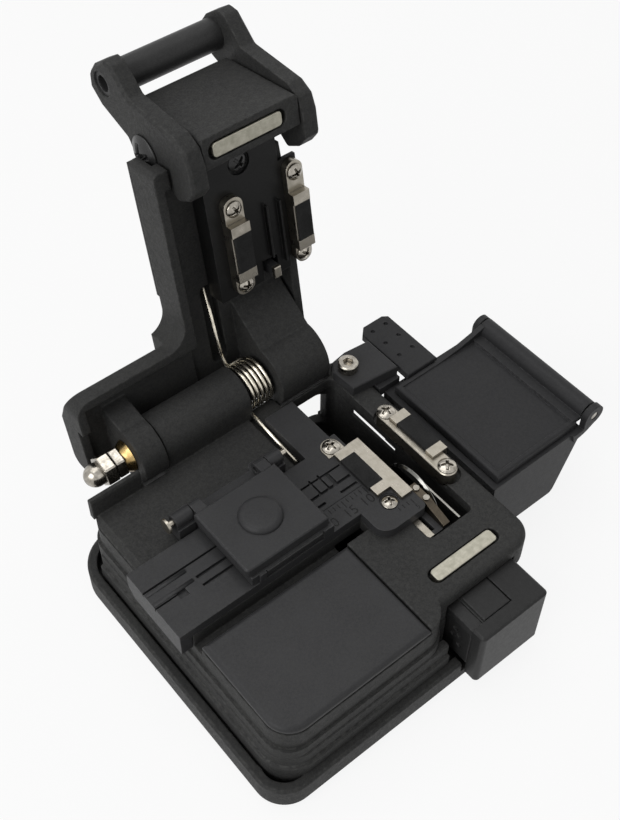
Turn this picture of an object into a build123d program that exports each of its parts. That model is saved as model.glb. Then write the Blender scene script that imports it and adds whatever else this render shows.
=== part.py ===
from build123d import *
import os
from math import sqrt

# Bench-top fibre cleaver with its lid open. Millimetres, Z up.
# X runs along the fibre to the scrap bin, Y runs back to the lid hinge.

# base and body
base_width = 63.2
base_depth = 63.5
base_corner = 6.0
base_back_corner = 8.5
foot_height = 0.6
floor_top = 3.0
rim_top = 6.0
rim_width = 1.8
body_left = -28.0
body_right = base_width / 2
body_front = -28.9
body_back = 28.5
deck_top = 20.9
tier_split = 14.3
tier_step = 0.5
panel_seat = 19.2
panel_right = 3.8
wall = 2.0
setback_front = -26.1
corner = 4.5

# fibre deck and pads
guide_top = 23.0
pad_face = 23.8
guide_left = -30.5
guide_front = -4.55
guide_back = 11.1
tongue_left = 8.9
tongue_right = 19.3
tongue_front = -10.7
left_pad_x = 13.2
right_pad_x = 26.9
pad_width = 3.2
pad_gap = 0.1
pad_foot = 0.2
pad_screw_head = 0.5

# hinge and lid
hinge_y = 31.4
hinge_z = 24.1
open_angle = 99.4
shaft_radius = 1.6
shaft_fit = 0.05
barrel_radius = 5.2
left_ear_radius = 5.8
right_ear_radius = 6.7
lid_left = 2.35
lid_right = 28.4
arm_taper = 0.6
boot_left = -22.2
boot_front = 18.3
lid_back = 36.5
rim_z = 27.6
recess_z = 31.0
lid_top = 35.0
lid_wall = 1.7
head_left = 9.4
head_right = 29.1
head_front = -23.5
head_low = 22.2
head_high = 41.6
pivot_y = -17.3
pivot_z = 35.0
yoke_thickness = 3.2
yoke_gap = 0.3

# blade carriage
blade_x = 22.0
blade_radius = 7.2
blade_y = -4.5
blade_z = 16.4
blade_clear = 0.2
slider_left = 10.4
slider_right = 26.1
slider_top = 17.8
slider_low = 3.3
slider_front = -35.0
slider_gap = 0.3

# fibre holder
holder_left = -15.7
holder_right = 2.0
holder_front = -3.7
holder_back = 11.5
holder_top = 27.2
holder_pin_y = 13.4
holder_pin_z = 25.5

# scrap bin
bin_gap = 1.6
bin_left = body_right + bin_gap
bin_width = 23.4
bin_right = bin_left + bin_width
bin_front = -14.1
bin_back = 16.6
bin_low = 1.8
bin_top = 19.0
bin_wall = 1.3
bin_hinge_x = bin_right + 2.2
bin_hinge_z = 21.4

lid_pose = Pos(0, hinge_y, hinge_z) * Rot(-open_angle, 0, 0) * Pos(0, -hinge_y, -hinge_z)


def block(x0, x1, y0, y1, z0, z1, mode=Mode.ADD):
    with Locations(((x0 + x1) / 2, (y0 + y1) / 2, (z0 + z1) / 2)):
        Box(x1 - x0, y1 - y0, z1 - z0, mode=mode)


def rod_x(x0, x1, y, z, r, mode=Mode.ADD):
    with Locations(Location(((x0 + x1) / 2, y, z), (0, 90, 0))):
        Cylinder(r, x1 - x0, mode=mode)


def rod_y(y0, y1, x, z, r, mode=Mode.ADD):
    with Locations(Location((x, (y0 + y1) / 2, z), (90, 0, 0))):
        Cylinder(r, y1 - y0, mode=mode)


def rod_z(z0, z1, x, y, r, mode=Mode.ADD):
    with Locations((x, y, (z0 + z1) / 2)):
        Cylinder(r, z1 - z0, mode=mode)


def rounded(x0, x1, y0, y1, z0, z1, r, mode=Mode.ADD):
    with BuildSketch(Plane.XY.offset(z0)) as profile:
        with Locations(((x0 + x1) / 2, (y0 + y1) / 2)):
            RectangleRounded(x1 - x0, y1 - y0, r)
    extrude(profile.sketch, amount=z1 - z0, mode=mode)


def side_shape(points, x0, x1, mode=Mode.ADD):
    with BuildSketch(Plane.YZ.offset(x0)) as profile:
        with BuildLine():
            Polyline(*points, close=True)
        make_face()
    extrude(profile.sketch, amount=x1 - x0, mode=mode)


def front_shape(points, y0, y1, mode=Mode.ADD):
    # points are (x, z), the shape runs from y0 back to y1
    with BuildSketch(Plane.XZ.offset(-y1)) as profile:
        with BuildLine():
            Polyline(*points, close=True)
        make_face()
    extrude(profile.sketch, amount=y1 - y0, mode=mode)


def plan_shape(points, z0, z1, mode=Mode.ADD):
    with BuildSketch(Plane.XY.offset(z0)) as profile:
        with BuildLine():
            Polyline(*points, close=True)
        make_face()
    extrude(profile.sketch, amount=z1 - z0, mode=mode)


def corner_edges(part, x, y):
    # upright edges standing at one plan point
    return [e for e in part.edges().filter_by(Axis.Z)
            if abs(e.center().X - x) < 0.05 and abs(e.center().Y - y) < 0.05]


def save(builder, name, pose=Location()):
    shape = builder.part.moved(pose)
    shape.label = name
    export_step(shape, "parts/" + name + ".step")


# fixed parts

foot_x = 24.5
foot_y = 24.5
foot_radius = 3.5
foot_depth = 1.0
foot_spots = [(sx * foot_x, sy * foot_y) for sx in (-1, 1) for sy in (-1, 1)]
screw_spots = [(-23.5, -15.0), (-23.5, 15.0), (6.0, -15.0), (6.0, 21.0)]
base_screw_radius = 1.0
base_screw_head = 2.0
base_screw_top = 12.0


def make_base_plate():
    half_x = base_width / 2
    half_y = base_depth / 2
    with BuildPart() as base_plate:
        block(-half_x, half_x, -half_y, half_y, foot_height, rim_top)
        for side in (-half_x, half_x):
            fillet(corner_edges(base_plate, side, -half_y), base_corner)
            fillet(corner_edges(base_plate, side, half_y), base_back_corner)
        chamfer(base_plate.faces().sort_by(Axis.Z)[0].edges(), 0.4)
        chamfer(base_plate.faces().sort_by(Axis.Z)[-1].edges(), 0.4)
        rounded(-half_x + rim_width, half_x - rim_width, -half_y + rim_width,
                half_y - rim_width, floor_top, rim_top, base_back_corner - rim_width, Mode.SUBTRACT)
        block(-half_x + rim_width, half_x - rim_width, -22.0, 0, floor_top, rim_top, Mode.SUBTRACT)
        for side in (-1, 1):
            rod_z(floor_top, rim_top, side * (half_x - base_corner), -half_y + base_corner,
                  base_corner - rim_width, Mode.SUBTRACT)
        # front notch for the blade slider, back notch under the scrap window
        block(slider_left - 0.5, slider_right + 0.6, -half_y - 1, -22.0, floor_top, rim_top, Mode.SUBTRACT)
        block(20.5, half_x + 1, half_y - 2.85, half_y + 1, 0, rim_top + 1, Mode.SUBTRACT)
        for x, y in foot_spots:
            rod_z(foot_height, foot_height + foot_depth, x, y, foot_radius, Mode.SUBTRACT)
        for x, y in screw_spots:
            rod_z(foot_height, floor_top, x, y, base_screw_radius + 0.2, Mode.SUBTRACT)
            rod_z(foot_height, foot_height + 1.2, x, y, base_screw_head + 0.2, Mode.SUBTRACT)
    save(base_plate, "base_plate")


def make_feet():
    with BuildPart() as rubber_feet:
        for x, y in foot_spots:
            rod_z(0, foot_height + foot_depth, x, y, foot_radius)
        chamfer(rubber_feet.edges().group_by(Axis.Z)[0], 0.25)
    save(rubber_feet, "rubber_feet")


def make_base_screws():
    with BuildPart() as base_screws:
        for x, y in screw_spots:
            rod_z(foot_height + 0.3, foot_height + 1.2, x, y, base_screw_head)
            rod_z(foot_height + 1.2, base_screw_top, x, y, base_screw_radius)
            for turn in (0, 90):
                with Locations(Location((x, y, foot_height + 0.5), (0, 0, turn))):
                    Box(2.2, 0.5, 0.6, mode=Mode.SUBTRACT)
    save(base_screws, "base_screws")


opening_left = 15.7
opening_right = 26.3
opening_front = -15.4
opening_back = 24.6
magnet_x = (11.0, 25.2)
magnet_y = (-22.75, -20.15)
magnet_top = 21.1


def make_main_body():
    left = body_left
    low_left = left - tier_step
    low_right = body_right - 3.0
    with BuildPart() as main_body:
        # right-hand deck with softened top edges
        rounded(panel_right - 1.5, body_right, setback_front, body_back, tier_split, deck_top, corner)
        fillet(main_body.faces().sort_by(Axis.Z)[-1].edges(), 1.3)
        rounded(left, 8.6, body_front, body_back, tier_split, deck_top, 5.0)
        block(-10, 12, 10, body_back, tier_split, deck_top)
        rounded(low_left, 8.6, body_front - tier_step, body_back + 0.2, floor_top, tier_split, 5.0)
        rounded(2.0, low_right, setback_front - 0.2, body_back + 0.2, floor_top, tier_split, 5.0)
        # slope under the overhanging deck edge
        front_shape([(low_right, tier_split - 1), (low_right, tier_split), (body_right, 16.4),
                     (body_right + 1, 16.4), (body_right + 1, tier_split - 1)],
                    setback_front - 1, body_back + 1, Mode.SUBTRACT)
        # seat for the front panel
        block(left - 1, panel_right, body_front - 1, -6.85, panel_seat, deck_top + 1, Mode.SUBTRACT)
        # shadow groove and soft edge along the rear left
        block(left - 1, left + 0.7, guide_back + 0.4, body_back + 1, 19.2, 19.7, Mode.SUBTRACT)
        front_shape([(left - 0.5, deck_top - 1.2), (left, deck_top - 1.2), (left + 1.2, deck_top),
                     (left + 1.2, deck_top + 0.5), (left - 0.5, deck_top + 0.5)],
                    guide_back + 0.4, 25.6, Mode.SUBTRACT)
        # channel between the panel and the fibre deck
        block(left - 1, tongue_left, -6.85, guide_front, 17.6, deck_top + 1, Mode.SUBTRACT)
        # hollow
        rounded(low_left + wall, 7.0, body_front + wall - 0.4, body_back - wall, floor_top, 16.0, 3.0,
                Mode.SUBTRACT)
        rounded(3.0, low_right - wall, setback_front + wall, body_back - wall, floor_top, 18.4, 3.0,
                Mode.SUBTRACT)
        # deck opening over the blade
        rounded(opening_left, opening_right, opening_front, opening_back, 17.0, deck_top + 1, 1.2,
                Mode.SUBTRACT)
        # slider mouth in the front wall
        block(slider_left - slider_gap, slider_right + slider_gap, setback_front - 1.2,
              setback_front + wall + 1.5, floor_top, slider_top + 0.25, Mode.SUBTRACT)
        # rear window and scrap slot to the bin
        block(18.5, 26.4, body_back - wall - 1, body_back + 1, 6.5, 15.4, Mode.SUBTRACT)
        block(low_right - wall - 0.5, low_right - wall + 0.6, 5.8, 18.6, 15.4, 17.1, Mode.SUBTRACT)
        block(low_right - wall + 0.5, body_right + 1, 4.0, 20.0, 10.5, 17.1, Mode.SUBTRACT)
        # recess for the right pad and pocket for the magnet
        rounded(right_pad_x - 1.3, body_right - 1.1, -9.2, 12.6, 19.8, deck_top + 1, 2.4, Mode.SUBTRACT)
        rounded(magnet_x[0] - 0.9, magnet_x[1] + 0.9, magnet_y[0] - 0.3, magnet_y[1] + 0.3,
                19.3, deck_top + 1, 1.55, Mode.SUBTRACT)
        # groove for the lower spring leg
        block(7.3, tongue_left - 0.1, 12.0, 26.5, deck_top - 1.0, deck_top + 1, Mode.SUBTRACT)
        # wall in front of the shaft nuts
        side_shape([(25.8, deck_top - 0.5), (25.8, 24.9), (26.1, 25.6), (26.7, 25.6), (27.0, 24.9),
                    (27.0, deck_top - 0.5)], left + 0.2, -17.3)
        # fixed barrel on its web
        side_shape([(26.4, 16.5), (26.2, hinge_z), (hinge_y, hinge_z), (29.3, 18.2), (28.4, 16.5)],
                   -10.9, 8.2)
        rod_x(-10.9, 8.2, hinge_y, hinge_z, barrel_radius)
        rod_x(8.2, 14.2, hinge_y, hinge_z, spring_radius + spring_wire + 0.3, Mode.SUBTRACT)
        rod_x(8.2, 14.1, hinge_y, hinge_z, 3.3)
        rod_x(-12, 16, hinge_y, hinge_z, shaft_radius, Mode.SUBTRACT)
        # room for the lid ears
        rod_x(-16.8, -10.9, hinge_y, hinge_z, left_ear_radius + 0.6, Mode.SUBTRACT)
        rod_x(14.1, 26.6, hinge_y, hinge_z, right_ear_radius + 0.5, Mode.SUBTRACT)
        # screw posts
        for x, y in screw_spots:
            rod_z(floor_top, 18.5, x, y, 2.6)
            rod_z(floor_top, base_screw_top, x, y, base_screw_radius, Mode.SUBTRACT)
    save(main_body, "main_body")


def make_front_panel():
    left = body_left + 0.1
    front = body_front + 0.1
    right = panel_right - 0.15
    back = -6.95
    with BuildPart() as front_panel:
        block(left + 0.8, right - 0.2, front + 0.8, back - 0.2, panel_seat, panel_seat + 0.45)
        fillet(corner_edges(front_panel, left + 0.8, front + 0.8), 4.0)
        block(left, right, front, back, panel_seat + 0.45, deck_top)
        fillet(corner_edges(front_panel, left, front), 4.8)
        top = front_panel.faces().sort_by(Axis.Z)[-1]
        fillet(top.edges(), 0.9)
    save(front_panel, "front_panel")


def make_guide_deck():
    outline = [(guide_left, guide_front), (tongue_left, guide_front), (tongue_left, tongue_front),
               (tongue_right, tongue_front), (tongue_right, 8.6), (16.7, 8.6), (16.7, 12.3),
               (15.5, 12.3), (15.5, 23.2), (tongue_left, 23.2), (tongue_left, guide_back),
               (guide_left, guide_back)]
    with BuildPart() as guide_deck:
        plan_shape(outline, deck_top, guide_top)
        fillet(corner_edges(guide_deck, tongue_left, tongue_front), 2.8)
        fillet(corner_edges(guide_deck, tongue_right, tongue_front), 1.2)
        block(guide_left, body_left - 0.2, guide_front, guide_back, 17.5, deck_top)
        chamfer([e for e in guide_deck.edges().filter_by(Axis.X)
                 if e.center().Z < 17.6 and e.center().Y > guide_back - 0.1], 1.6)
        # guide slots under the fibre holder
        deep = guide_top - 0.7
        block(guide_left, 12.9, 5.95, 6.35, deep, guide_top + 1, Mode.SUBTRACT)
        block(guide_left, -26.0, 2.25, 2.6, deep, guide_top + 1, Mode.SUBTRACT)
        block(-26.0, -24.2, 1.3, 2.9, deep, guide_top + 1, Mode.SUBTRACT)
        block(-21.5, 12.9, 2.9, 3.5, deep, guide_top + 1, Mode.SUBTRACT)
        block(-21.5, 5.5, 0.95, 1.5, deep, guide_top + 1, Mode.SUBTRACT)
        block(9.0, 12.9, 0.95, 1.5, deep, guide_top + 1, Mode.SUBTRACT)
        block(5.9, 6.3, 3.5, 6.9, deep, guide_top + 1, Mode.SUBTRACT)
        block(7.9, 8.3, 3.5, 6.9, deep, guide_top + 1, Mode.SUBTRACT)
        block(9.2, 10.1, 3.5, 5.95, deep, guide_top + 1, Mode.SUBTRACT)
        rod_z(guide_top - 0.4, guide_top + 1, 14.6, -5.7, 1.9, Mode.SUBTRACT)
    save(guide_deck, "guide_deck")


def make_base_magnet():
    with BuildPart() as base_magnet:
        rounded(magnet_x[0], magnet_x[1], magnet_y[0], magnet_y[1], 19.3, magnet_top, 1.25)
        chamfer(base_magnet.faces().sort_by(Axis.Z)[-1].edges(), 0.15)
    save(base_magnet, "base_magnet")


tab_length = 2.0
rubber_front = -1.7
rubber_back = 6.3
left_screws = [(14.1, 10.1, 1.7, guide_top + pad_foot), (14.6, -5.7, 1.5, guide_top - 0.4)]
right_screws = [(27.7, 10.1, 1.75, guide_top), (27.9, -6.5, 1.75, guide_top)]


def make_lower_pads():
    x0 = left_pad_x
    x1 = x0 + pad_width + 0.1
    with BuildPart() as left_frame:
        block(x1, 19.1, -6.8, 8.4, guide_top, pad_face)
        block(x0, x1, rubber_back, rubber_back + tab_length, guide_top, pad_face)
        block(x0 + 0.2, x1, rubber_front - tab_length, rubber_front, guide_top, pad_face)
        block(x0 - 1.0, x0 + 2.9, rubber_back + tab_length, left_screws[0][1], guide_top, guide_top + pad_foot)
        rod_z(guide_top, guide_top + pad_foot, left_screws[0][0], left_screws[0][1], 1.95)
    save(left_frame, "lower_left_frame")
    with BuildPart() as left_rubber:
        block(x0, x1, rubber_front, rubber_back, guide_top, pad_face)
    save(left_rubber, "lower_left_rubber")
    with BuildPart() as right_frame:
        rounded(right_pad_x - 1.0, right_pad_x + 2.8, -8.5, 11.9, 19.8, guide_top, 1.85)
        chamfer(right_frame.faces().sort_by(Axis.Z)[-1].edges(), 0.2)
        for x, y, r, z in right_screws:
            rod_z(guide_top - 1.0, guide_top + 1, x, y, 0.9, Mode.SUBTRACT)
    save(right_frame, "lower_right_frame")
    with BuildPart() as right_tabs:
        for y in (rubber_front - tab_length, rubber_back):
            block(right_pad_x, right_pad_x + 3.6, y, y + tab_length, guide_top, pad_face)
            block(right_pad_x + 2.9, right_pad_x + 3.6, y, y + tab_length, 21.4, guide_top)
    save(right_tabs, "lower_right_tabs")
    with BuildPart() as right_rubber:
        block(right_pad_x + 0.2, right_pad_x + 3.5, rubber_front, rubber_back, guide_top, pad_face)
        block(right_pad_x + 2.9, right_pad_x + 3.5, rubber_front, rubber_back, 20.6, guide_top)
    save(right_rubber, "lower_right_rubber")
    with BuildPart() as pad_screws:
        for x, y, r, z in left_screws + right_screws:
            rod_z(z, z + pad_screw_head, x, y, r)
        chamfer(pad_screws.edges().filter_by(GeomType.CIRCLE).group_by(Axis.Z)[-1], 0.2)
        for x, y, r, z in left_screws + right_screws:
            for turn in (20, 110):
                with Locations(Location((x, y, z + pad_screw_head), (0, 0, turn))):
                    Box(r * 1.3, 0.4, 0.5, mode=Mode.SUBTRACT)
        for x, y, r, z in right_screws:
            rod_z(z - 1.0, z, x, y, 0.9)
    save(pad_screws, "lower_pad_screws")


def make_slide_rail():
    with BuildPart() as slide_rail:
        front_shape([(14.5, floor_top), (14.5, 4.4), (15.1, 5.0), (14.5, 5.6), (14.5, 6.0), (20.5, 6.0),
                     (20.5, 5.6), (19.9, 5.0), (20.5, 4.4), (20.5, floor_top)], -22.0, 22.0)
        for y in (-18, -6, 6, 18):
            rod_z(4.6, 6.5, 17.5, y, 1.5, Mode.SUBTRACT)
    save(slide_rail, "slide_rail")


left_ear = (-16.3, -11.3)
right_ear = (14.6, 26.0)
washer_end = left_ear[0] - 1.7
nut_end = washer_end - 2.2
acorn_hex_end = nut_end - 2.9
acorn_tip = -26.4


def hex_prism(x0, x1, across, mode=Mode.ADD):
    with BuildSketch(Plane.YZ.offset(x0)) as profile:
        with Locations((hinge_y, hinge_z)):
            RegularPolygon(across / sqrt(3), 6, rotation=12)
    extrude(profile.sketch, amount=x1 - x0, mode=mode)


def make_hinge_shaft():
    with BuildPart() as hinge_shaft:
        rod_x(acorn_hex_end + 1.0, right_ear[1] + 0.1, hinge_y, hinge_z, shaft_radius)
    save(hinge_shaft, "hinge_shaft")
    with BuildPart() as brass_washer:
        with Locations(Location(((washer_end + left_ear[0] - 0.1) / 2, hinge_y, hinge_z), (0, 90, 0))):
            Cone(2.4, 3.3, left_ear[0] - 0.1 - washer_end)
        rod_x(washer_end - 1, left_ear[0] + 1, hinge_y, hinge_z, shaft_radius, Mode.SUBTRACT)
    save(brass_washer, "brass_washer")
    with BuildPart() as lock_nut:
        hex_prism(nut_end + 0.1, washer_end, 6.2)
        rod_x(nut_end - 1, washer_end + 1, hinge_y, hinge_z, shaft_radius, Mode.SUBTRACT)
    save(lock_nut, "lock_nut")
    dome = 2.6
    with BuildPart() as acorn_nut:
        hex_prism(acorn_hex_end, nut_end, 6.6)
        rod_x(acorn_tip + dome, acorn_hex_end, hinge_y, hinge_z, dome)
        with Locations((acorn_tip + dome, hinge_y, hinge_z)):
            Sphere(dome)
        rod_x(acorn_hex_end + 1.0, nut_end + 1, hinge_y, hinge_z, shaft_radius, Mode.SUBTRACT)
    save(acorn_nut, "acorn_nut")


spring_radius = 4.35
spring_wire = 0.3
spring_pitch = 1.02
spring_turns = 5.35
spring_start = 8.6


def wire_run(points):
    with BuildLine() as run:
        Polyline(*points)
    with BuildSketch(Plane(origin=run.line @ 0, z_dir=run.line % 0)) as profile:
        Circle(spring_wire)
    sweep(profile.sketch, path=run.line, transition=Transition.ROUND)


def make_torsion_spring():
    # the coil starts low at the front, where the lower leg leaves it
    turn = 150
    leg_z = deck_top + spring_wire + 0.05
    rear = hinge_y + spring_radius + 2 * spring_wire + 0.1
    helix = Helix(spring_pitch, spring_pitch * spring_turns, spring_radius,
                  center=(spring_start, hinge_y, hinge_z), direction=(1, 0, 0))
    coil = helix.rotate(Axis((spring_start, hinge_y, hinge_z), (1, 0, 0)), turn)
    with BuildPart() as torsion_spring:
        with BuildSketch(Plane(origin=coil @ 0, z_dir=coil % 0)):
            Circle(spring_wire)
        sweep(path=coil, is_frenet=True)
        wire_run([coil @ 0, (8.55, 27.5, leg_z), (8.55, 25.9, leg_z), (7.9, 23.8, leg_z), (7.9, 12.4, leg_z)])
        up = (lid_pose * Pos(10.2, 27.5, 30.4)).position
        tip = (lid_pose * Pos(9.9, 11.6, 31.9)).position
        wire_run([coil @ 1, (13.6, rear, hinge_z + 0.2), (10.0, rear, hinge_z + 0.2), up, tip])
    save(torsion_spring, "torsion_spring")


bracket_top = 23.2
tongue_end = bin_left + 3.8
bracket_screw = (29.1, 22.9)


def make_bracket():
    with BuildPart() as bin_bracket:
        plan_shape([(26.6, 18.3), (tongue_end, 17.2), (tongue_end, 26.0), (31.2, 26.6), (27.4, 26.0), (26.3, 24.0)],
                   deck_top, bracket_top)
        fillet(bin_bracket.faces().sort_by(Axis.Z)[-1].edges(), 0.4)
        rod_z(deck_top - 1, bracket_top + 1, bracket_screw[0], bracket_screw[1], 1.2, Mode.SUBTRACT)
    save(bin_bracket, "bin_bracket")
    with BuildPart() as socket_screw:
        rod_z(bracket_top, bracket_top + 1.9, bracket_screw[0], bracket_screw[1], 2.0)
        chamfer(socket_screw.faces().sort_by(Axis.Z)[-1].edges(), 0.25)
        with BuildSketch(Plane.XY.offset(bracket_top + 0.8)):
            with Locations(bracket_screw):
                RegularPolygon(1.1, 6)
        extrude(amount=2, mode=Mode.SUBTRACT)
        rod_z(deck_top, bracket_top, bracket_screw[0], bracket_screw[1], 1.2)
    save(socket_screw, "bracket_screw")


# lid parts, drawn closed and then swung open

inner_screw = (18.6, -13.1)

def make_lid_arm():
    outline = [(lid_left, -17.6), (5.3, -17.6), (5.3, -11.6), (9.35, -11.6), (9.35, -12.7),
               (lid_right - arm_taper, -12.7), (lid_right, -2.0), (lid_right, lid_back), (boot_left, lid_back),
               (boot_left, boot_front), (lid_left, boot_front)]
    with BuildPart() as lid_arm:
        plan_shape(outline, rim_z, lid_top)
        fillet(corner_edges(lid_arm, lid_left, boot_front), 4.5)
        fillet(corner_edges(lid_arm, boot_left, boot_front), 3.0)
        fillet(corner_edges(lid_arm, lid_left, -17.6), 1.0)
        # boot slopes up from its front edge
        side_shape([(boot_front - 1, rim_z + 3.2), (boot_front, rim_z + 3.4), (25.0, lid_top + 0.1),
                    (boot_front - 1, lid_top + 0.1)], boot_left - 1, -1.0, Mode.SUBTRACT)
        fillet([e for e in lid_arm.edges().filter_by(Axis.X) if e.center().Y > lid_back - 0.1
                and e.center().Z > lid_top - 0.1], 2.2)
        # hollow underside
        block(lid_left + lid_wall, lid_right - lid_wall, -14.0, lid_back + 1, rim_z - 1, recess_z,
              Mode.SUBTRACT)
        block(boot_left + lid_wall, lid_left + 4, boot_front + lid_wall, lid_back + 1, rim_z - 1,
              recess_z - 0.6, Mode.SUBTRACT)
        block(boot_left - 1, boot_left + lid_wall + 0.1, 25.0, lid_back + 1, rim_z - 1, 29.4,
              Mode.SUBTRACT)
        # ears round the shaft
        side_shape([(23.4, recess_z), (25.7, hinge_z), (37.1, hinge_z), (lid_back, recess_z)],
                   left_ear[0], left_ear[1])
        rod_x(left_ear[0], left_ear[1], hinge_y, hinge_z, left_ear_radius)
        side_shape([(17.0, recess_z), (24.9, 23.0), (38.0, hinge_z), (lid_back, recess_z)],
                   right_ear[0], right_ear[1])
        rod_x(right_ear[0], right_ear[1], hinge_y, hinge_z, right_ear_radius)
        rod_x(left_ear[0] - 1, right_ear[1] + 1, hinge_y, hinge_z, shaft_radius + shaft_fit, Mode.SUBTRACT)
        # room for the yoke screw head
        rod_x(4.2, 5.4, pivot_y, pivot_z, 4.3, Mode.SUBTRACT)
        # slot for the upper spring leg
        rounded(8.5, 11.9, 10.8, 29.0, recess_z - 0.5, recess_z + 1.9, 1.2, Mode.SUBTRACT)
    save(lid_arm, "lid_arm", lid_pose)


def make_lid_covers():
    screw_x, screw_y = inner_screw
    with BuildPart() as back_cover:
        plan_shape([(lid_left, -17.0), (5.3, -17.0), (5.3, -11.6), (lid_right - arm_taper, -11.6),
                    (lid_right, -2.0), (lid_right, 11.2), (lid_left, 11.2)], lid_top, lid_top + 1.6)
        fillet([e for e in back_cover.faces().sort_by(Axis.Z)[-1].edges()
                if e.center().Y > 11 or e.center().X < lid_left + 0.1 or e.center().Y < -16.9], 1.1)
        rod_x(4.2, 5.4, pivot_y, pivot_z, 4.3, Mode.SUBTRACT)
    save(back_cover, "lid_back_cover", lid_pose)
    with BuildPart() as inner_plate:
        block(10.6, lid_right - lid_wall - 0.1, -17.6, 13.2, 26.8, recess_z)
        block(lid_right - lid_wall - 0.1, 30.4, -9.6, 10.8, 26.8, rim_z)
        # pocket the anvil stands in, with ribs above it
        block(20.3, 23.7, 8.9, 13.3, 26.0, 29.2, Mode.SUBTRACT)
        block(22.2, 22.6, -2.7, 8.5, 25.8, 26.8)
        block(25.1, 25.5, -2.5, 10.8, 25.8, 26.8)
        rod_z(26.0, 27.4, screw_x, screw_y, 2.3, Mode.SUBTRACT)
    save(inner_plate, "lid_inner_plate", lid_pose)
    with BuildPart() as plate_screw:
        rod_z(26.5, 27.4, screw_x, screw_y, 1.9)
        chamfer(plate_screw.faces().sort_by(Axis.Z)[0].edges(), 0.3)
        for turn in (15, 105):
            with Locations(Location((screw_x, screw_y, 26.5), (0, 0, turn))):
                Box(2.4, 0.5, 0.8, mode=Mode.SUBTRACT)
    save(plate_screw, "inner_plate_screw", lid_pose)


lid_magnet_x = (11.3, 25.5)
lid_magnet_y = (-22.0, -19.3)


def make_head():
    with BuildPart() as head_block:
        side_shape([(head_front, head_low), (head_front, head_high), (-14.4, head_high), (-12.8, 40.0),
                    (-12.8, recess_z + 0.1), (-17.7, recess_z + 0.1), (-17.7, head_low)],
                   head_left, head_right)
        fillet([e for e in head_block.edges().filter_by(Axis.Z)
                if e.center().Y < head_front + 0.1], 0.8)
        rounded(lid_magnet_x[0] - 0.9, lid_magnet_x[1] + 0.9, lid_magnet_y[0] - 0.4,
                lid_magnet_y[1] + 0.4, head_low - 1, head_low + 1.6, 1.6, Mode.SUBTRACT)
        rod_x(head_left, head_left + 4, pivot_y, pivot_z, 1.4, Mode.SUBTRACT)
        rod_x(head_right - 4, head_right, pivot_y, pivot_z, 1.4, Mode.SUBTRACT)
    save(head_block, "head_block", lid_pose)
    with BuildPart() as lid_magnet:
        rounded(lid_magnet_x[0], lid_magnet_x[1], lid_magnet_y[0], lid_magnet_y[1],
                head_low - 0.1, head_low + 1.6, 1.3)
    save(lid_magnet, "lid_magnet", lid_pose)


upper_low = pad_face + pad_gap
upper_seat = 26.8
upper_floor = 25.3
upper_pads = [("upper_left", 13.2, 4.0, (-6.0, 10.3)), ("upper_right", 27.0, 3.6, (-7.1, 10.3))]
upper_rubber = (-1.2, 6.5)
upper_tab = 2.1


def make_upper_pads():
    y0 = upper_rubber[0]
    y1 = upper_rubber[1]
    for name, x0, width, screws in upper_pads:
        x1 = x0 + width
        with BuildPart() as frame:
            rounded(x0, x1, screws[0] - 2.2, screws[1] + 2.0, upper_floor, upper_seat, 1.75)
            block(x0, x0 + 0.4, y0 - upper_tab, y1 + upper_tab, upper_low + 0.4, upper_floor)
            for y in (y0 - upper_tab, y1):
                block(x0, x1, y, y + upper_tab, upper_low + 0.05, upper_floor)
        save(frame, name + "_frame", lid_pose)
        with BuildPart() as rubber:
            block(x0 + 0.4, x1 - 0.1, y0, y1, upper_low, upper_floor)
        save(rubber, name + "_rubber", lid_pose)
    with BuildPart() as upper_screws:
        for name, x0, width, screws in upper_pads:
            for y in screws:
                rod_z(upper_floor - 1.0, upper_floor, x0 + width / 2, y, 1.55)
        chamfer(upper_screws.edges().filter_by(GeomType.CIRCLE).group_by(Axis.Z)[0], 0.6)
    save(upper_screws, "upper_pad_screws", lid_pose)


def make_anvil():
    with BuildPart() as anvil_arm:
        block(21.3, 22.8, 9.9, 12.2, 25.5, 29.2)
        block(20.8, 23.3, 9.4, 12.7, 28.4, 29.2)
    save(anvil_arm, "anvil_arm", lid_pose)
    with BuildPart() as anvil_tip:
        block(21.3, 22.8, 9.9, 12.2, 24.6, 25.5)
        chamfer(anvil_tip.faces().sort_by(Axis.Z)[0].edges(), 0.15)
    save(anvil_tip, "anvil_tip", lid_pose)


yoke_outline = [(-24.6, 50.0), (-27.4, 49.4), (-29.6, 47.2), (-31.4, 43.6), (-31.0, 41.6),
                (-26.3, 37.6), (-24.2, 25.0), (-22.4, 22.4), (-19.5, 21.6), (-15.0, 21.5),
                (-12.7, 23.6), (-11.2, 27.2), (-14.4, 30.4), (-13.2, 33.6), (-13.2, 36.6),
                (-15.4, 39.2), (-18.2, 40.4), (-21.7, 47.4)]
bar_y = -26.4
bar_z = 45.6
bar_radius = 2.9


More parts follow.
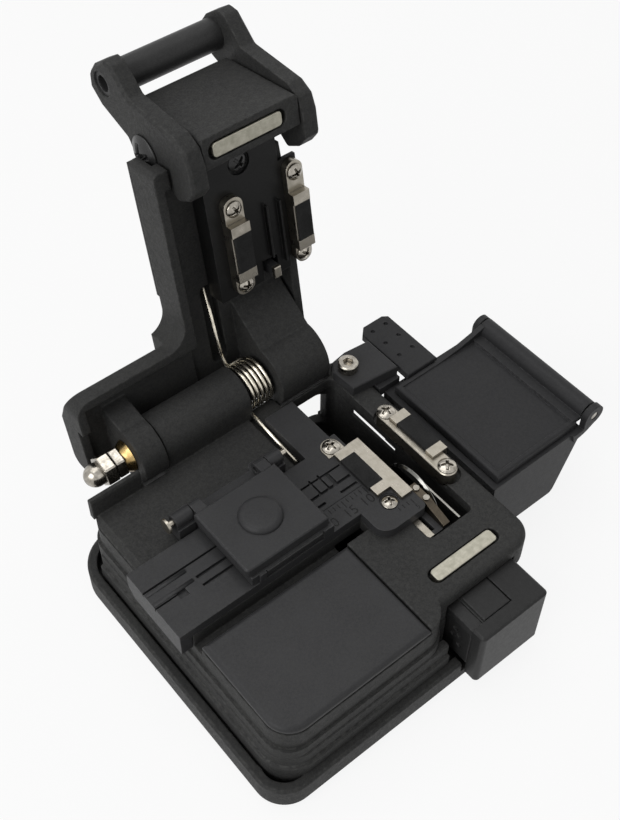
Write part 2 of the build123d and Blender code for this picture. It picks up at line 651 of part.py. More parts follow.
def make_yoke():
    left = head_left - yoke_gap - yoke_thickness
    right = head_right + yoke_gap
    for name, x0 in (("yoke_left", left), ("yoke_right", right)):
        with BuildPart() as plate:
            side_shape(yoke_outline, x0, x0 + yoke_thickness)
            fillet([e for e in plate.edges().filter_by(Axis.X)], 0.9)
            outer = plate.faces().sort_by(Axis.X)[0 if name == "yoke_left" else -1]
            chamfer(outer.edges(), 0.45)
            rod_x(x0 - 1, x0 + yoke_thickness + 1, bar_y, bar_z, bar_radius - 0.6, Mode.SUBTRACT)
            rod_x(x0 - 1, x0 + yoke_thickness + 1, pivot_y, pivot_z, 1.45, Mode.SUBTRACT)
        save(plate, name, lid_pose)
    with BuildPart() as handle_bar:
        rod_x(left + yoke_thickness, right, bar_y, bar_z, bar_radius)
        rod_x(left + 0.3, right + yoke_thickness - 0.3, bar_y, bar_z, bar_radius - 0.6)
        rod_x(left, left + 2.5, bar_y, bar_z, 1.5, Mode.SUBTRACT)
        rod_x(right + yoke_thickness - 2.5, right + yoke_thickness, bar_y, bar_z, 1.5, Mode.SUBTRACT)
    save(handle_bar, "handle_bar", lid_pose)
    with BuildPart() as yoke_screws:
        rod_x(left - 1.5, left, pivot_y, pivot_z, 3.9)
        rod_x(right + yoke_thickness, right + yoke_thickness + 1.5, pivot_y, pivot_z, 3.9)
        chamfer([yoke_screws.edges().filter_by(GeomType.CIRCLE).sort_by(Axis.X)[0],
                 yoke_screws.edges().filter_by(GeomType.CIRCLE).sort_by(Axis.X)[-1]], 1.0)
        for x in (left - 1.5, right + yoke_thickness + 1.5):
            for turn in (25, 115):
                with Locations(Location((x, pivot_y, pivot_z), (turn, 0, 0))):
                    Box(1.4, 3.6, 0.8, mode=Mode.SUBTRACT)
        rod_x(left, head_left + 3.5, pivot_y, pivot_z, 1.4)
        rod_x(head_right - 3.5, right + yoke_thickness, pivot_y, pivot_z, 1.4)
    save(yoke_screws, "yoke_screws", lid_pose)


# blade carriage

carriage_front = -14.9
carriage_back = 10.0


def make_carriage():
    ledge = blade_z - blade_radius - blade_clear
    with BuildPart() as blade_carriage:
        front_shape([(11.6, 6.05), (23.2, 6.05), (23.2, ledge), (20.9, ledge), (20.9, 20.4), (17.4, 20.4),
                     (17.4, 12.0), (11.6, 12.0)], carriage_front, carriage_back)
        # cheeks that grip the rail
        block(11.6, 14.4, carriage_front, carriage_back, 3.2, 6.05)
        block(20.6, 23.2, carriage_front, carriage_back, 3.2, 6.05)
        block(17.3, 21.0, 4.0, 11, 12.0, 21, Mode.SUBTRACT)
        rod_x(17, 22, blade_y, blade_z, 1.5 + shaft_fit, Mode.SUBTRACT)
        block(17.3, 18.2, -14.0, -10.0, 12.0, 21, Mode.SUBTRACT)
    save(blade_carriage, "blade_carriage")
    with BuildPart() as blade_arm:
        side_shape([(-14.9, 20.4), (-14.9, 21.2), (-9.5, 22.9), (-5.4, 22.9), (-5.4, 20.4)], 19.4, 20.9)
    save(blade_arm, "blade_arm")
    with BuildPart() as arm_screws:
        for y in (-9.3, -6.6):
            rod_z(22.9, 23.3, 20.15, y, 0.6)
    save(arm_screws, "blade_arm_screws")
    with BuildPart() as carriage_plate:
        block(15.95, 17.3, -14.9, -10.4, 12.0, 20.5)
    save(carriage_plate, "carriage_plate")
    with BuildPart() as slide_edge:
        block(23.2, 23.6, carriage_front, -1.0, 6.2, 20.4)
    save(slide_edge, "carriage_edge")


def make_slider():
    inner_front = slider_front + 2.9
    top = slider_top
    with BuildPart() as slider_block:
        front_shape([(slider_left, 6.3), (19.8, 6.3), (19.8, top - 0.4), (13.0, top - 0.4),
                     (13.0, top - 0.9), (slider_left + 0.4, top - 1.2), (slider_left, top - 2.0)],
                    inner_front, carriage_front)
        block(slider_left - 0.5, 12.0, -22, carriage_front + 1, 12.1, 18, Mode.SUBTRACT)
        # finger dots
        for y, z in ((-28.6, 13.6), (-29.6, 12.2), (-28.2, 11.2), (-29.9, 9.6)):
            rod_x(slider_left - 1, slider_left + 0.35, y, z, 0.55, Mode.SUBTRACT)
    save(slider_block, "slider_block")
    with BuildPart() as slider_cover:
        block(slider_left, slider_right, slider_front, inner_front - 0.05, slider_low, top)
        block(19.85, slider_right, inner_front - 0.05, -24.0, 6.3, top)
        fillet([e for e in slider_cover.edges().filter_by(Axis.Z)
                if e.center().Y < slider_front + 0.1], 0.9)
        chamfer([e for e in slider_cover.faces().sort_by(Axis.Z)[-1].edges()
                 if e.center().Y < slider_front + 0.2], 0.4)
    save(slider_cover, "slider_cover")
    with BuildPart() as top_pad:
        block(13.3, 19.6, inner_front + 0.1, -26.0, top - 0.4, top)
        fillet(top_pad.faces().sort_by(Axis.Z)[-1].edges(), 0.25)
    save(top_pad, "slider_top_pad")


def make_blade():
    with BuildPart() as blade_disc:
        rod_x(blade_x - 0.45, blade_x + 0.05, blade_y, blade_z, blade_radius)
        chamfer([e for e in blade_disc.edges().filter_by(GeomType.CIRCLE)
                 if e.center().X < blade_x - 0.2], 0.4, 0.4)
        rod_x(blade_x - 1, blade_x + 1, blade_y, blade_z, 1.5 + shaft_fit, Mode.SUBTRACT)
    save(blade_disc, "blade_disc")
    with BuildPart() as blade_screw:
        rod_x(18.0, blade_x + 0.15, blade_y, blade_z, 1.5)
        rod_x(blade_x + 0.15, blade_x + 0.95, blade_y, blade_z, 2.6)
        rod_x(blade_x + 0.5, blade_x + 1, blade_y, blade_z, 1.1, Mode.SUBTRACT)
    save(blade_screw, "blade_screw")


# fibre holder

def make_holder():
    lid_low = holder_top - 2.0
    with BuildPart() as holder_base:
        block(holder_left + 0.6, holder_right - 0.3, holder_front - 0.5, holder_back + 0.2,
              guide_top, lid_low - 0.1)
        block(holder_left + 0.6, holder_right + 1.2, holder_back + 0.2, 14.9, 21.4, 24.0)
        block(holder_left + 0.6, holder_right + 1.2, 11.2, holder_back + 0.3, 21.4, guide_top)
        # hinge posts
        for x0, x1 in ((-18.9, -15.3), (1.6, 4.6)):
            block(x0, x1, 11.6, 14.9, 21.4, 24.6)
            rod_x(x0, x1, holder_pin_y, holder_pin_z, 1.4)
        for x in (-15.0, 0.2):
            rod_z(21.4, 24.0, x, 14.9, 1.3)
        rod_x(-20, 6, holder_pin_y, holder_pin_z, 0.6, Mode.SUBTRACT)
        # keel in the guide slot
        block(holder_left + 1, holder_right - 1, 2.95, 3.45, guide_top - 0.6, guide_top)
        # front lip with the clamp seat
        block(-13.6, -12.2, holder_front - 0.9, holder_front - 0.5, guide_top, lid_low - 0.2)
        block(0.4, 2.6, holder_front - 0.9, holder_front + 1.5, guide_top, lid_low + 0.1, Mode.ADD)
        block(-0.1, holder_right + 0.3, holder_front - 0.4, holder_front + 1.6, lid_low - 0.1, lid_low + 1,
              Mode.SUBTRACT)
    save(holder_base, "holder_base")
    with BuildPart() as holder_pins:
        rod_x(-20.0, -13.9, holder_pin_y, holder_pin_z, 0.6)
        rod_x(-20.5, -20.0, holder_pin_y, holder_pin_z, 1.45)
        rod_x(-0.2, 5.8, holder_pin_y, holder_pin_z, 0.6)
    save(holder_pins, "holder_pins")
    with BuildPart() as holder_strip:
        block(-12.0, 0.2, holder_front - 0.9, holder_front - 0.5, 24.2, lid_low - 0.1)
    save(holder_strip, "holder_strip")
    with BuildPart() as holder_lid:
        block(holder_left, holder_right, holder_front, holder_back, lid_low, holder_top)
        fillet(corner_edges(holder_lid, holder_left, holder_front), 0.8)
        chamfer(holder_lid.faces().sort_by(Axis.Z)[-1].edges(), 0.25)
        # hinge arms between the posts
        for x0, x1 in ((-15.1, -12.8), (-0.9, 1.4)):
            block(x0, x1, holder_back - 0.3, holder_pin_y, lid_low, holder_top - 0.3)
            rod_x(x0, x1, holder_pin_y, holder_pin_z, 1.35)
        rod_x(-20, 6, holder_pin_y, holder_pin_z, 0.6 + shaft_fit, Mode.SUBTRACT)
        rod_z(holder_top - 0.5, holder_top + 1, -6.9, 4.0, 4.0, Mode.SUBTRACT)
    save(holder_lid, "holder_lid")
    with BuildPart() as holder_button:
        rod_z(holder_top - 0.5, holder_top - 0.1, -6.9, 4.0, 4.0)
        rod_z(holder_top - 0.1, holder_top + 0.3, -6.9, 4.0, 3.3)
        fillet(holder_button.faces().sort_by(Axis.Z)[-1].edges(), 0.25)
    save(holder_button, "holder_button")


# scrap bin

bin_profile = [(bin_left, bin_top), (bin_right, bin_top), (bin_right + 0.1, 17.6), (bin_right - 4.7, 3.2),
               (bin_right - 6.0, bin_low), (bin_left + 1.8, bin_low), (bin_left + 1.4, 2.4)]
bin_inside = [(bin_left + bin_wall, bin_top + 1), (bin_right - bin_wall, bin_top + 1),
              (bin_right - bin_wall, 17.4), (bin_right - 5.9, 3.9), (bin_right - 6.6, bin_low + bin_wall),
              (bin_left + 2.7, bin_low + bin_wall)]


def make_bin():
    with BuildPart() as scrap_bin:
        front_shape(bin_profile, bin_front, bin_back)
        fillet([e for e in scrap_bin.edges().filter_by(Axis.X)
                if e.center().Z < bin_low + 0.1], 0.8)
        front_shape(bin_inside, bin_front + bin_wall, bin_back - bin_wall, Mode.SUBTRACT)
        # tongue held under the bracket
        block(body_right + 0.2, tongue_end, bin_back - 0.2, 25.6, 18.6, deck_top - 0.15)
        block(bin_left, tongue_end, bin_back - 2.0, bin_back, 15.5, bin_top)
        # ears for the lid pin
        for y0, y1, r in ((bin_front - 0.6, bin_front + 0.7, 2.35), (bin_back - 1.2, bin_back, 2.0)):
            front_shape([(bin_right - 2.5, 17.0), (bin_right, 17.6), (bin_hinge_x - 1.2, bin_hinge_z - 3.4),
                         (bin_hinge_x + r * 0.8, bin_hinge_z - r * 0.6), (bin_hinge_x - r, bin_hinge_z),
                         (bin_hinge_x - r, bin_top), (bin_right - 3.0, bin_top)], y0, y1)
            rod_y(y0, y1, bin_hinge_x, bin_hinge_z, r)
        rod_y(bin_front - 3, bin_back + 3, bin_hinge_x, bin_hinge_z, 0.9, Mode.SUBTRACT)
        # scrap mouth on the body side
        block(bin_left - 1, bin_left + bin_wall + 1.2, 4.0, 14.0, 6.0, 17.1, Mode.SUBTRACT)
    save(scrap_bin, "scrap_bin")
    with BuildPart() as bin_pin:
        rod_y(bin_front - 0.5, bin_back - 0.1, bin_hinge_x, bin_hinge_z, 0.9)
    save(bin_pin, "bin_pin")


def make_bin_lid():
    low = bin_top + 0.1
    front = bin_front + 0.8
    back = bin_back - 1.5
    with BuildPart() as bin_lid:
        block(bin_left + 1.4, bin_right - 1.0, front, back, low, deck_top)
        fillet(bin_lid.faces().sort_by(Axis.Z)[-1].edges(), 0.5)
        block(bin_left + 2.5, bin_right - 2.0, front + 1.1, back - 1.1, deck_top - 0.3, deck_top + 1, Mode.SUBTRACT)
        # rear rim rises to the hinge bar
        front_shape([(bin_left + 11.8, low + 1.0), (bin_left + 11.8, deck_top), (bin_right - 6.1, deck_top + 0.5),
                     (bin_right - 2.1, deck_top + 1.4), (bin_hinge_x - 1.4, deck_top + 2.3),
                     (bin_hinge_x, bin_hinge_z), (bin_hinge_x, bin_hinge_z - 1.0),
                     (bin_right - 1.1, low + 1.0)], back - 1.1, back)
        block(bin_right - 1.9, bin_hinge_x, front + 0.3, back, deck_top - 0.7, deck_top + 0.3)
        rod_y(front + 0.3, back, bin_hinge_x, bin_hinge_z, 2.05)
        rod_y(bin_front - 1, bin_back + 1, bin_hinge_x, bin_hinge_z, 0.9 + shaft_fit, Mode.SUBTRACT)
    save(bin_lid, "bin_lid")
    tab_low = deck_top - 0.8
    tab_x = bin_left + 4.8
    with BuildPart() as lid_tab:
        plan_shape([(tab_x, back), (tab_x + 7.6, back), (tab_x + 7.6, 29.6), (tab_x + 6.5, 30.4), (tab_x + 1.6, 30.4),
                    (tab_x, 28.8)], tab_low, deck_top + 0.7)
        fillet(lid_tab.faces().sort_by(Axis.Z)[-1].edges(), 0.3)
        for x in (tab_x + 2.2, tab_x + 5.7):
            for y in (20.2, 24.3, 28.2):
                rod_z(deck_top + 0.3, deck_top + 2, x, y, 0.45, Mode.SUBTRACT)
    save(lid_tab, "bin_lid_tab")


os.makedirs("parts", exist_ok=True)
make_base_plate()
make_feet()
make_base_screws()
make_main_body()
make_front_panel()
make_guide_deck()
make_base_magnet()
make_lower_pads()
make_slide_rail()
make_hinge_shaft()
make_torsion_spring()
make_bracket()
make_lid_arm()
make_lid_covers()
make_head()
make_upper_pads()
make_anvil()
make_yoke()
make_carriage()
make_slider()
make_blade()
make_holder()
make_bin()
make_bin_lid()
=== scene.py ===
import math
import bmesh
import bpy
from mathutils import Matrix, Vector


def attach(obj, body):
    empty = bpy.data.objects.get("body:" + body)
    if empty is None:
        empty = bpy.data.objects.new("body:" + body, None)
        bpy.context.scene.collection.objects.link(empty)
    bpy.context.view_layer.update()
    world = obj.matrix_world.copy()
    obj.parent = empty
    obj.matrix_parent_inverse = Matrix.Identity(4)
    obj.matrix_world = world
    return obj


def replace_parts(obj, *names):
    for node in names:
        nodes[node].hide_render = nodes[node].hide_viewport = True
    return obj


# A bench-top fibre cleaver, lid open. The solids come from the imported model,
# and this script dresses them, adds the fine fittings and lights them.

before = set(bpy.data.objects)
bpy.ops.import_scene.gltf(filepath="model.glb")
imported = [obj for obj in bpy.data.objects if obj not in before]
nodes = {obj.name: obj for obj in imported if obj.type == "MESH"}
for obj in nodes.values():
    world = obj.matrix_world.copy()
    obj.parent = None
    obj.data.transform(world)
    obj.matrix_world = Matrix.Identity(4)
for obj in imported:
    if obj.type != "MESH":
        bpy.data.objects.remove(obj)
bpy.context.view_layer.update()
scene = bpy.context.scene
mm = 0.001
print("frame loaded:", len(nodes), "nodes")


# helpers for materials

def startFinish(name):
    material = bpy.data.materials.new(name)
    material.use_nodes = True
    tree = material.node_tree
    tree.nodes.clear()
    output = tree.nodes.new("ShaderNodeOutputMaterial")
    shader = tree.nodes.new("ShaderNodeBsdfPrincipled")
    tree.links.new(shader.outputs["BSDF"], output.inputs["Surface"])
    place = tree.nodes.new("ShaderNodeTexCoord").outputs["Object"]
    return material, tree, shader, place


def stretchPlace(tree, place, stretch):
    mapping = tree.nodes.new("ShaderNodeMapping")
    mapping.inputs["Scale"].default_value = stretch
    tree.links.new(place, mapping.inputs["Vector"])
    return mapping.outputs["Vector"]


def grainOf(tree, place, size, detail, rough=0.55):
    noise = tree.nodes.new("ShaderNodeTexNoise")
    noise.inputs["Scale"].default_value = 1.0 / size
    noise.inputs["Detail"].default_value = detail
    noise.inputs["Roughness"].default_value = rough
    tree.links.new(place, noise.inputs["Vector"])
    return noise.outputs["Fac"]


def remap(tree, value, fromLow, fromHigh, toLow, toHigh):
    node = tree.nodes.new("ShaderNodeMapRange")
    levels = {"From Min": fromLow, "From Max": fromHigh, "To Min": toLow, "To Max": toHigh}
    for socket, number in levels.items():
        node.inputs[socket].default_value = number
    tree.links.new(value, node.inputs["Value"])
    return node.outputs["Result"]


def combine(tree, operation, first, second):
    node = tree.nodes.new("ShaderNodeMath")
    node.operation = operation
    for index, item in enumerate((first, second)):
        if isinstance(item, (int, float)):
            node.inputs[index].default_value = item
        else:
            tree.links.new(item, node.inputs[index])
    return node.outputs["Value"]


# the mix node has a socket for each kind of value: these are its colour ones
mixSockets = {"first": 6, "second": 7, "result": 2}


def blendColour(tree, factor, first, second):
    node = tree.nodes.new("ShaderNodeMix")
    node.data_type = "RGBA"
    tree.links.new(factor, node.inputs["Factor"])
    firstSocket = node.inputs[mixSockets["first"]]
    secondSocket = node.inputs[mixSockets["second"]]
    for socket, item in ((firstSocket, first), (secondSocket, second)):
        if isinstance(item, tuple):
            socket.default_value = (*item, 1.0)
        else:
            tree.links.new(item, socket)
    return node.outputs[mixSockets["result"]]


# how edges and crevices are found: samples taken, and where an edge or a crevice starts and is full
edgeFinder = {"samples": 4, "start": 0.995, "full": 0.86}
creviceFinder = {"samples": 6, "full": 0.30, "start": 0.80}


def roundedNormal(tree, radius):
    bevel = tree.nodes.new("ShaderNodeBevel")
    bevel.samples = edgeFinder["samples"]
    bevel.inputs["Radius"].default_value = radius
    return bevel.outputs["Normal"]


def edgeShare(tree, rounded):
    # nought on flats, towards one where the rounded normal leaves the true one
    geometry = tree.nodes.new("ShaderNodeNewGeometry")
    dot = tree.nodes.new("ShaderNodeVectorMath")
    dot.operation = "DOT_PRODUCT"
    tree.links.new(rounded, dot.inputs[0])
    tree.links.new(geometry.outputs["Normal"], dot.inputs[1])
    return remap(tree, dot.outputs["Value"], edgeFinder["start"], edgeFinder["full"], 0.0, 1.0)


def shadedShare(tree, reach):
    # one deep in a slot or crevice, nought on open faces
    closeness = tree.nodes.new("ShaderNodeAmbientOcclusion")
    closeness.samples = creviceFinder["samples"]
    closeness.inputs["Distance"].default_value = reach
    return remap(tree, closeness.outputs["AO"], creviceFinder["full"], creviceFinder["start"], 1.0, 0.0)


def addBump(tree, height, depth, strength, normal):
    bump = tree.nodes.new("ShaderNodeBump")
    bump.inputs["Strength"].default_value = strength
    bump.inputs["Distance"].default_value = depth
    tree.links.new(height, bump.inputs["Height"])
    tree.links.new(normal, bump.inputs["Normal"])
    return bump.outputs["Normal"]


# finishes

# how each coat's grain is mixed and where it shows
coatMix = {
    "fineDetail": 4.0, "fineRough": 0.6, "coarseScale": 3.1, "coarseDetail": 2.0, "cloudDetail": 3.0,
    "fineShare": 0.65, "coarseShare": 0.35, "speckle": (0.40, 0.64), "cloud": (0.35, 0.70),
    "rubbedAndHighlitEdge": (0.42, 0.62), "leastRubbedAndHighlit": 0.2, "gloss": (0.38, 0.66),
}


def coatedFinish(settings):
    # paint, anodising, moulded plastic and rubber: a dark coat with grain, clouding, and edges lightened
    # in patches as rubbed wear and as painted edge highlight
    material, tree, shader, place = startFinish(settings["name"])
    fine = grainOf(tree, place, settings["grain"], coatMix["fineDetail"], coatMix["fineRough"])
    coarse = grainOf(tree, place, settings["grain"] * coatMix["coarseScale"], coatMix["coarseDetail"])
    cloud = grainOf(tree, place, settings["cloud"], coatMix["cloudDetail"])
    rounded = roundedNormal(tree, settings["edgeRadius"])
    edge = edgeShare(tree, rounded)
    pebble = combine(tree, "ADD", combine(tree, "MULTIPLY", fine, coatMix["fineShare"]),
                     combine(tree, "MULTIPLY", coarse, coatMix["coarseShare"]))
    base = blendColour(tree, remap(tree, pebble, *coatMix["speckle"], 0.0, 1.0),
                       settings["dark"], settings["light"])
    dusty = remap(tree, cloud, *coatMix["cloud"], 0.0, settings["cloudShare"])
    clouded = blendColour(tree, dusty, base, settings["dust"])
    # edges lighter in random patches: partly rubbed wear, partly painted highlight on rounded edges
    patchy = remap(tree, coarse, *coatMix["rubbedAndHighlitEdge"], coatMix["leastRubbedAndHighlit"], 1.0)
    rubbedAndHighlitEdge = combine(tree, "MULTIPLY", edge, patchy)
    wornAndHighlitEdge = blendColour(tree, combine(tree, "MULTIPLY", rubbedAndHighlitEdge, settings["edgeWearAndHighlight"]),
                       clouded, settings["wornAndHighlitEdge"])
    tree.links.new(wornAndHighlitEdge, shader.inputs["Base Color"])
    low, high = settings["roughness"]
    tree.links.new(remap(tree, pebble, *coatMix["gloss"], high, low), shader.inputs["Roughness"])
    shader.inputs["Specular IOR Level"].default_value = settings["specular"]
    grained = addBump(tree, pebble, settings["depth"], settings["strength"], rounded)
    tree.links.new(grained, shader.inputs["Normal"])
    return material


# how each metal's lines and blotches show, and the painted shade in its crevices
metalMix = {
    "lineDetail": 2.0, "blotchDetail": 4.0, "tone": (0.30, 0.72), "lines": (0.40, 0.62),
    "edgeHighlightShare": 0.5, "gloss": (0.35, 0.65), "paintedShadeReach": 0.45 * mm, "paintedShadeShare": 0.9,
    "paintedCreviceShade": (0.022, 0.019, 0.015),
}


def metalFinish(settings):
    # bare and plated metal: brushed or drawn lines, faint blotches, painted highlight on the edges and
    # painted shade in the crevices
    material, tree, shader, place = startFinish(settings["name"])
    drawn = stretchPlace(tree, place, settings["stretch"])
    lines = grainOf(tree, drawn, settings["grain"], metalMix["lineDetail"])
    blotch = grainOf(tree, place, settings["blotch"], metalMix["blotchDetail"])
    rounded = roundedNormal(tree, settings["edgeRadius"])
    edge = edgeShare(tree, rounded)
    tone = blendColour(tree, remap(tree, blotch, *metalMix["tone"], 0.0, 1.0),
                       settings["light"], settings["dark"])
    lined = blendColour(tree, remap(tree, lines, *metalMix["lines"], 0.0, settings["lineShare"]),
                        tone, settings["dark"])
    # painted highlight: edges found by the rounded normal are lightened towards the light tone
    highlitEdges = blendColour(tree, combine(tree, "MULTIPLY", edge, metalMix["edgeHighlightShare"]),
                         lined, settings["light"])
    # painted shade: the colour darkens towards near-black where the occlusion node finds close surfaces,
    # in slots, recesses and between coils
    paintedCreviceShade = combine(tree, "MULTIPLY", shadedShare(tree, metalMix["paintedShadeReach"]), metalMix["paintedShadeShare"])
    tree.links.new(blendColour(tree, paintedCreviceShade, highlitEdges, metalMix["paintedCreviceShade"]), shader.inputs["Base Color"])
    shader.inputs["Metallic"].default_value = 1.0
    low, high = settings["roughness"]
    tree.links.new(remap(tree, blotch, *metalMix["gloss"], low, high), shader.inputs["Roughness"])
    grained = addBump(tree, lines, settings["depth"], settings["strength"], rounded)
    tree.links.new(grained, shader.inputs["Normal"])
    return material


coats = {
    "casting_black": {
        "grain": 0.27 * mm, "cloud": 9 * mm, "cloudShare": 0.25, "edgeRadius": 0.55 * mm,
        "dark": (0.018, 0.018, 0.018), "light": (0.032, 0.032, 0.031),
        "dust": (0.038, 0.038, 0.036), "wornAndHighlitEdge": (0.085, 0.085, 0.082), "edgeWearAndHighlight": 0.55,
        "roughness": (0.50, 0.68), "specular": 0.16, "depth": 0.09 * mm, "strength": 0.55,
    },
    "deck_black": {
        "grain": 0.16 * mm, "cloud": 7 * mm, "cloudShare": 0.3, "edgeRadius": 0.22 * mm,
        "dark": (0.023, 0.023, 0.024), "light": (0.033, 0.033, 0.034),
        "dust": (0.042, 0.042, 0.043), "wornAndHighlitEdge": (0.11, 0.11, 0.11), "edgeWearAndHighlight": 0.6,
        "roughness": (0.40, 0.50), "specular": 0.16, "depth": 0.02 * mm, "strength": 0.22,
    },
    "plate_black": {
        "grain": 0.16 * mm, "cloud": 7 * mm, "cloudShare": 0.3, "edgeRadius": 0.22 * mm,
        "dark": (0.004, 0.004, 0.004), "light": (0.008, 0.008, 0.008),
        "dust": (0.012, 0.012, 0.012), "wornAndHighlitEdge": (0.07, 0.07, 0.07), "edgeWearAndHighlight": 0.6,
        "roughness": (0.34, 0.44), "specular": 0.16, "depth": 0.02 * mm, "strength": 0.22,
    },
    "bar_black": {
        "grain": 0.2 * mm, "cloud": 6 * mm, "cloudShare": 0.25, "edgeRadius": 0.3 * mm,
        "dark": (0.020, 0.020, 0.020), "light": (0.031, 0.031, 0.031),
        "dust": (0.042, 0.042, 0.042), "wornAndHighlitEdge": (0.09, 0.09, 0.09), "edgeWearAndHighlight": 0.5,
        "roughness": (0.36, 0.46), "specular": 0.18, "depth": 0.02 * mm, "strength": 0.25,
    },
    "bin_black": {
        "grain": 0.22 * mm, "cloud": 8 * mm, "cloudShare": 0.2, "edgeRadius": 0.3 * mm,
        "dark": (0.017, 0.017, 0.018), "light": (0.024, 0.024, 0.025), "dust": (0.03, 0.03, 0.031),
        "wornAndHighlitEdge": (0.075, 0.075, 0.076), "edgeWearAndHighlight": 0.5, "roughness": (0.44, 0.54), "specular": 0.16,
        "depth": 0.025 * mm, "strength": 0.3,
    },
    "slider_black": {
        "grain": 0.2 * mm, "cloud": 6 * mm, "cloudShare": 0.2, "edgeRadius": 0.35 * mm,
        "dark": (0.015, 0.015, 0.015), "light": (0.022, 0.022, 0.022),
        "dust": (0.028, 0.028, 0.028), "wornAndHighlitEdge": (0.08, 0.08, 0.08), "edgeWearAndHighlight": 0.55,
        "roughness": (0.38, 0.48), "specular": 0.16, "depth": 0.02 * mm, "strength": 0.25,
    },
    "rubber_black": {
        "grain": 0.12 * mm, "cloud": 4 * mm, "cloudShare": 0.4, "edgeRadius": 0.2 * mm,
        "dark": (0.010, 0.010, 0.010), "light": (0.018, 0.018, 0.018), "dust": (0.04, 0.04, 0.04),
        "wornAndHighlitEdge": (0.05, 0.05, 0.05), "edgeWearAndHighlight": 0.3, "roughness": (0.72, 0.86), "specular": 0.12,
        "depth": 0.02 * mm, "strength": 0.35,
    },
    "black_screw": {
        "grain": 0.1 * mm, "cloud": 2 * mm, "cloudShare": 0.3, "edgeRadius": 0.15 * mm,
        "dark": (0.012, 0.012, 0.012), "light": (0.02, 0.02, 0.02), "dust": (0.05, 0.05, 0.05),
        "wornAndHighlitEdge": (0.2, 0.2, 0.2), "edgeWearAndHighlight": 0.7, "roughness": (0.24, 0.34), "specular": 0.35,
        "depth": 0.01 * mm, "strength": 0.2,
    },
}

metals = {
    "nickel": {
        "grain": 0.08 * mm, "stretch": (1, 0.08, 1), "blotch": 1.6 * mm, "edgeRadius": 0.12 * mm,
        "light": (0.4, 0.37, 0.32), "dark": (0.27, 0.25, 0.21), "lineShare": 0.35,
        "roughness": (0.26, 0.38), "depth": 0.01 * mm, "strength": 0.25,
    },
    "screw_steel": {
        "grain": 0.1 * mm, "stretch": (1, 1, 1), "blotch": 0.9 * mm, "edgeRadius": 0.12 * mm,
        "light": (0.46, 0.43, 0.38), "dark": (0.2, 0.185, 0.16), "lineShare": 0.2,
        "roughness": (0.16, 0.28), "depth": 0.008 * mm, "strength": 0.2,
    },
    "magnet_steel": {
        "grain": 0.12 * mm, "stretch": (0.15, 1, 1), "blotch": 1.1 * mm, "edgeRadius": 0.2 * mm,
        "light": (0.36, 0.345, 0.29), "dark": (0.26, 0.25, 0.205), "lineShare": 0.5,
        "roughness": (0.38, 0.52), "depth": 0.012 * mm, "strength": 0.3,
    },
    "machined_steel": {
        "grain": 0.09 * mm, "stretch": (1, 0.06, 1), "blotch": 2.2 * mm, "edgeRadius": 0.15 * mm,
        "light": (0.36, 0.35, 0.32), "dark": (0.2, 0.19, 0.175), "lineShare": 0.5,
        "roughness": (0.28, 0.40), "depth": 0.012 * mm, "strength": 0.3,
    },
    "spring_steel": {
        "grain": 0.07 * mm, "stretch": (1, 1, 1), "blotch": 1.3 * mm, "edgeRadius": 0.05 * mm,
        "light": (0.72, 0.67, 0.57), "dark": (0.44, 0.41, 0.34), "lineShare": 0.3,
        "roughness": (0.20, 0.32), "depth": 0.006 * mm, "strength": 0.2,
    },
    "blade_steel": {
        "grain": 0.06 * mm, "stretch": (1, 1, 0.08), "blotch": 1.5 * mm, "edgeRadius": 0.06 * mm,
        "light": (0.25, 0.245, 0.23), "dark": (0.12, 0.12, 0.112), "lineShare": 0.5,
        "roughness": (0.14, 0.24), "depth": 0.006 * mm, "strength": 0.2,
    },
    "bronze_dark": {
        "grain": 0.09 * mm, "stretch": (1, 0.06, 1), "blotch": 1.4 * mm, "edgeRadius": 0.12 * mm,
        "light": (0.11, 0.092, 0.068), "dark": (0.045, 0.038, 0.030), "lineShare": 0.5,
        "roughness": (0.30, 0.42), "depth": 0.012 * mm, "strength": 0.3,
    },
    "brass": {
        "grain": 0.09 * mm, "stretch": (1, 0.3, 0.3), "blotch": 1.0 * mm, "edgeRadius": 0.12 * mm,
        "light": (0.52, 0.38, 0.17), "dark": (0.3, 0.2, 0.08), "lineShare": 0.35,
        "roughness": (0.20, 0.32), "depth": 0.008 * mm, "strength": 0.2,
    },
}

finishes = {}
for slotName, settings in coats.items():
    finishes[slotName] = coatedFinish({"name": slotName, **settings})
for slotName, settings in metals.items():
    finishes[slotName] = metalFinish({"name": slotName, **settings})
print("finishes made:", len(finishes))

# which finish each CAD node wears
wearers = {
    "casting_black": (
        "base_plate", "main_body", "lid_arm", "lid_back_cover", "head_block", "yoke_left",
        "yoke_right",
    ),
    "deck_black": (
        "front_panel", "guide_deck", "bin_bracket", "holder_base", "holder_lid", "holder_button",
        "anvil_arm", "blade_carriage",
    ),
    "plate_black": ("lid_inner_plate",),
    "bar_black": ("handle_bar", "holder_strip"),
    "bin_black": ("scrap_bin", "bin_lid", "bin_lid_tab"),
    "slider_black": ("slider_block", "slider_cover", "slider_top_pad"),
    "rubber_black": (
        "rubber_feet", "lower_left_rubber", "lower_right_rubber", "upper_left_rubber",
        "upper_right_rubber",
    ),
    "black_screw": ("yoke_screws", "inner_plate_screw", "base_screws"),
    "nickel": (
        "lower_left_frame", "lower_right_frame", "lower_right_tabs", "upper_left_frame",
        "upper_right_frame", "anvil_tip", "holder_pins", "carriage_plate",
    ),
    "screw_steel": (
        "lower_pad_screws", "upper_pad_screws", "bracket_screw", "lock_nut", "acorn_nut",
        "blade_arm_screws", "blade_screw", "bin_pin",
    ),
    "magnet_steel": ("base_magnet", "lid_magnet"),
    "machined_steel": ("slide_rail", "hinge_shaft", "carriage_edge"),
    "bronze_dark": ("blade_arm",),
    "spring_steel": ("torsion_spring",),
    "blade_steel": ("blade_disc",),
    "brass": ("brass_washer",),
}


